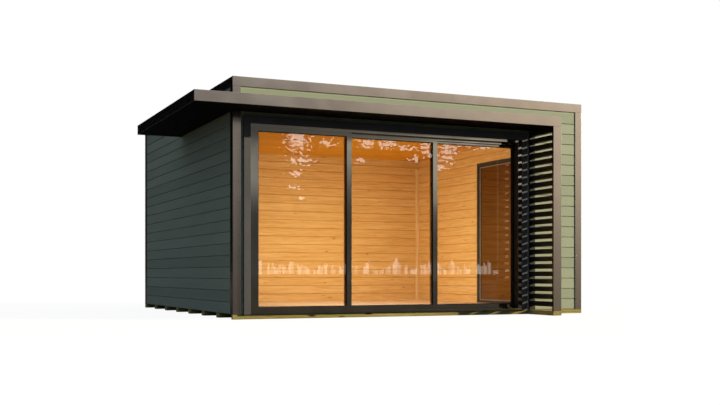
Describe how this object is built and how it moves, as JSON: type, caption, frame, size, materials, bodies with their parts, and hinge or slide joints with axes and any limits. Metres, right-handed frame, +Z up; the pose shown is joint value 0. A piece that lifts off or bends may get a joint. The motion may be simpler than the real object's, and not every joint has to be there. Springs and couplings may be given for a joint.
{
  "type": "garden office pod",
  "caption": "Flat-roofed garden office pod of timber boards with a wrap-round canopy, a slatted side wing and a wide sliding glass front.",
  "frame": {"origin": "middle of the whole pod's footprint, canopy included, at ground level", "axes": "+Z up, -Y towards the glazed front, +X towards the slatted wing"},
  "size_m": [4.874, 4.701, 2.5],
  "materials": {
    "wall_boards": "painted boards, satin",
    "bearer_timber": "pressure-treated, rough sawn",
    "metal_trim": "powder coated, satin",
    "canopy_soffit": "powder coated, satin",
    "door_metal": "powder coated, satin",
    "clear_glass": "polished",
    "pine_boards": "planed and lacquered",
    "roof_covering": "matt sheet",
    "roller_steel": "turned"
  },
  "bodies": {
    "pod": {"left_wall": "wall_boards", "back_wall": "wall_boards", "right_wall_front": "wall_boards", "right_wall_back": "wall_boards", "right_wall_header": "wall_boards", "front_wall_left": "wall_boards", "front_wall_right": "wall_boards", "front_wall_header": "wall_boards", "front_bearer": "bearer_timber", "floor_bearers": "bearer_timber", "wing_sole": "bearer_timber", "corner_trim_front_left": "metal_trim", "corner_trim_front_right": "metal_trim", "corner_trim_back_left": "metal_trim", "corner_trim_back_right": "metal_trim", "roof_fascia_front": "metal_trim", "roof_fascia_back": "metal_trim", "roof_fascia_left": "metal_trim", "roof_fascia_right": "metal_trim", "canopy_fascia_front": "metal_trim", "canopy_fascia_left": "metal_trim", "canopy_fascia_end": "metal_trim", "canopy_fascia_right": "metal_trim", "wing_leg": "metal_trim", "wing_post": "metal_trim", "wing_slats": "metal_trim", "side_light_casing": "metal_trim", "canopy_front_slab": "canopy_soffit", "canopy_side_slab": "canopy_soffit", "door_jamb_left": "door_metal", "door_jamb_right": "door_metal", "door_head": "door_metal", "door_sill": "door_metal", "fixed_leaf_frame": "door_metal", "side_light_frame": "door_metal", "fixed_leaf_glass": "clear_glass", "side_light_glass": "clear_glass", "floor_boards": "pine_boards", "ceiling_boards": "pine_boards", "roof_deck": "roof_covering"},
    "middle_leaf": {"middle_leaf_frame": "door_metal", "middle_leaf_glass": "clear_glass", "middle_leaf_rollers": "roller_steel"},
    "inner_leaf": {"inner_leaf_frame": "door_metal", "inner_leaf_glass": "clear_glass", "inner_leaf_rollers": "roller_steel"}
  },
  "joints": [
    {"name": "middle_leaf_slide", "type": "slide", "parent": "pod", "child": "middle_leaf", "axis": [-1, 0, 0], "range_m": [0, 1.045]},
    {"name": "inner_leaf_slide", "type": "slide", "parent": "pod", "child": "inner_leaf", "axis": [-1, 0, 0], "range_m": [0, 2.116]}
  ]
}
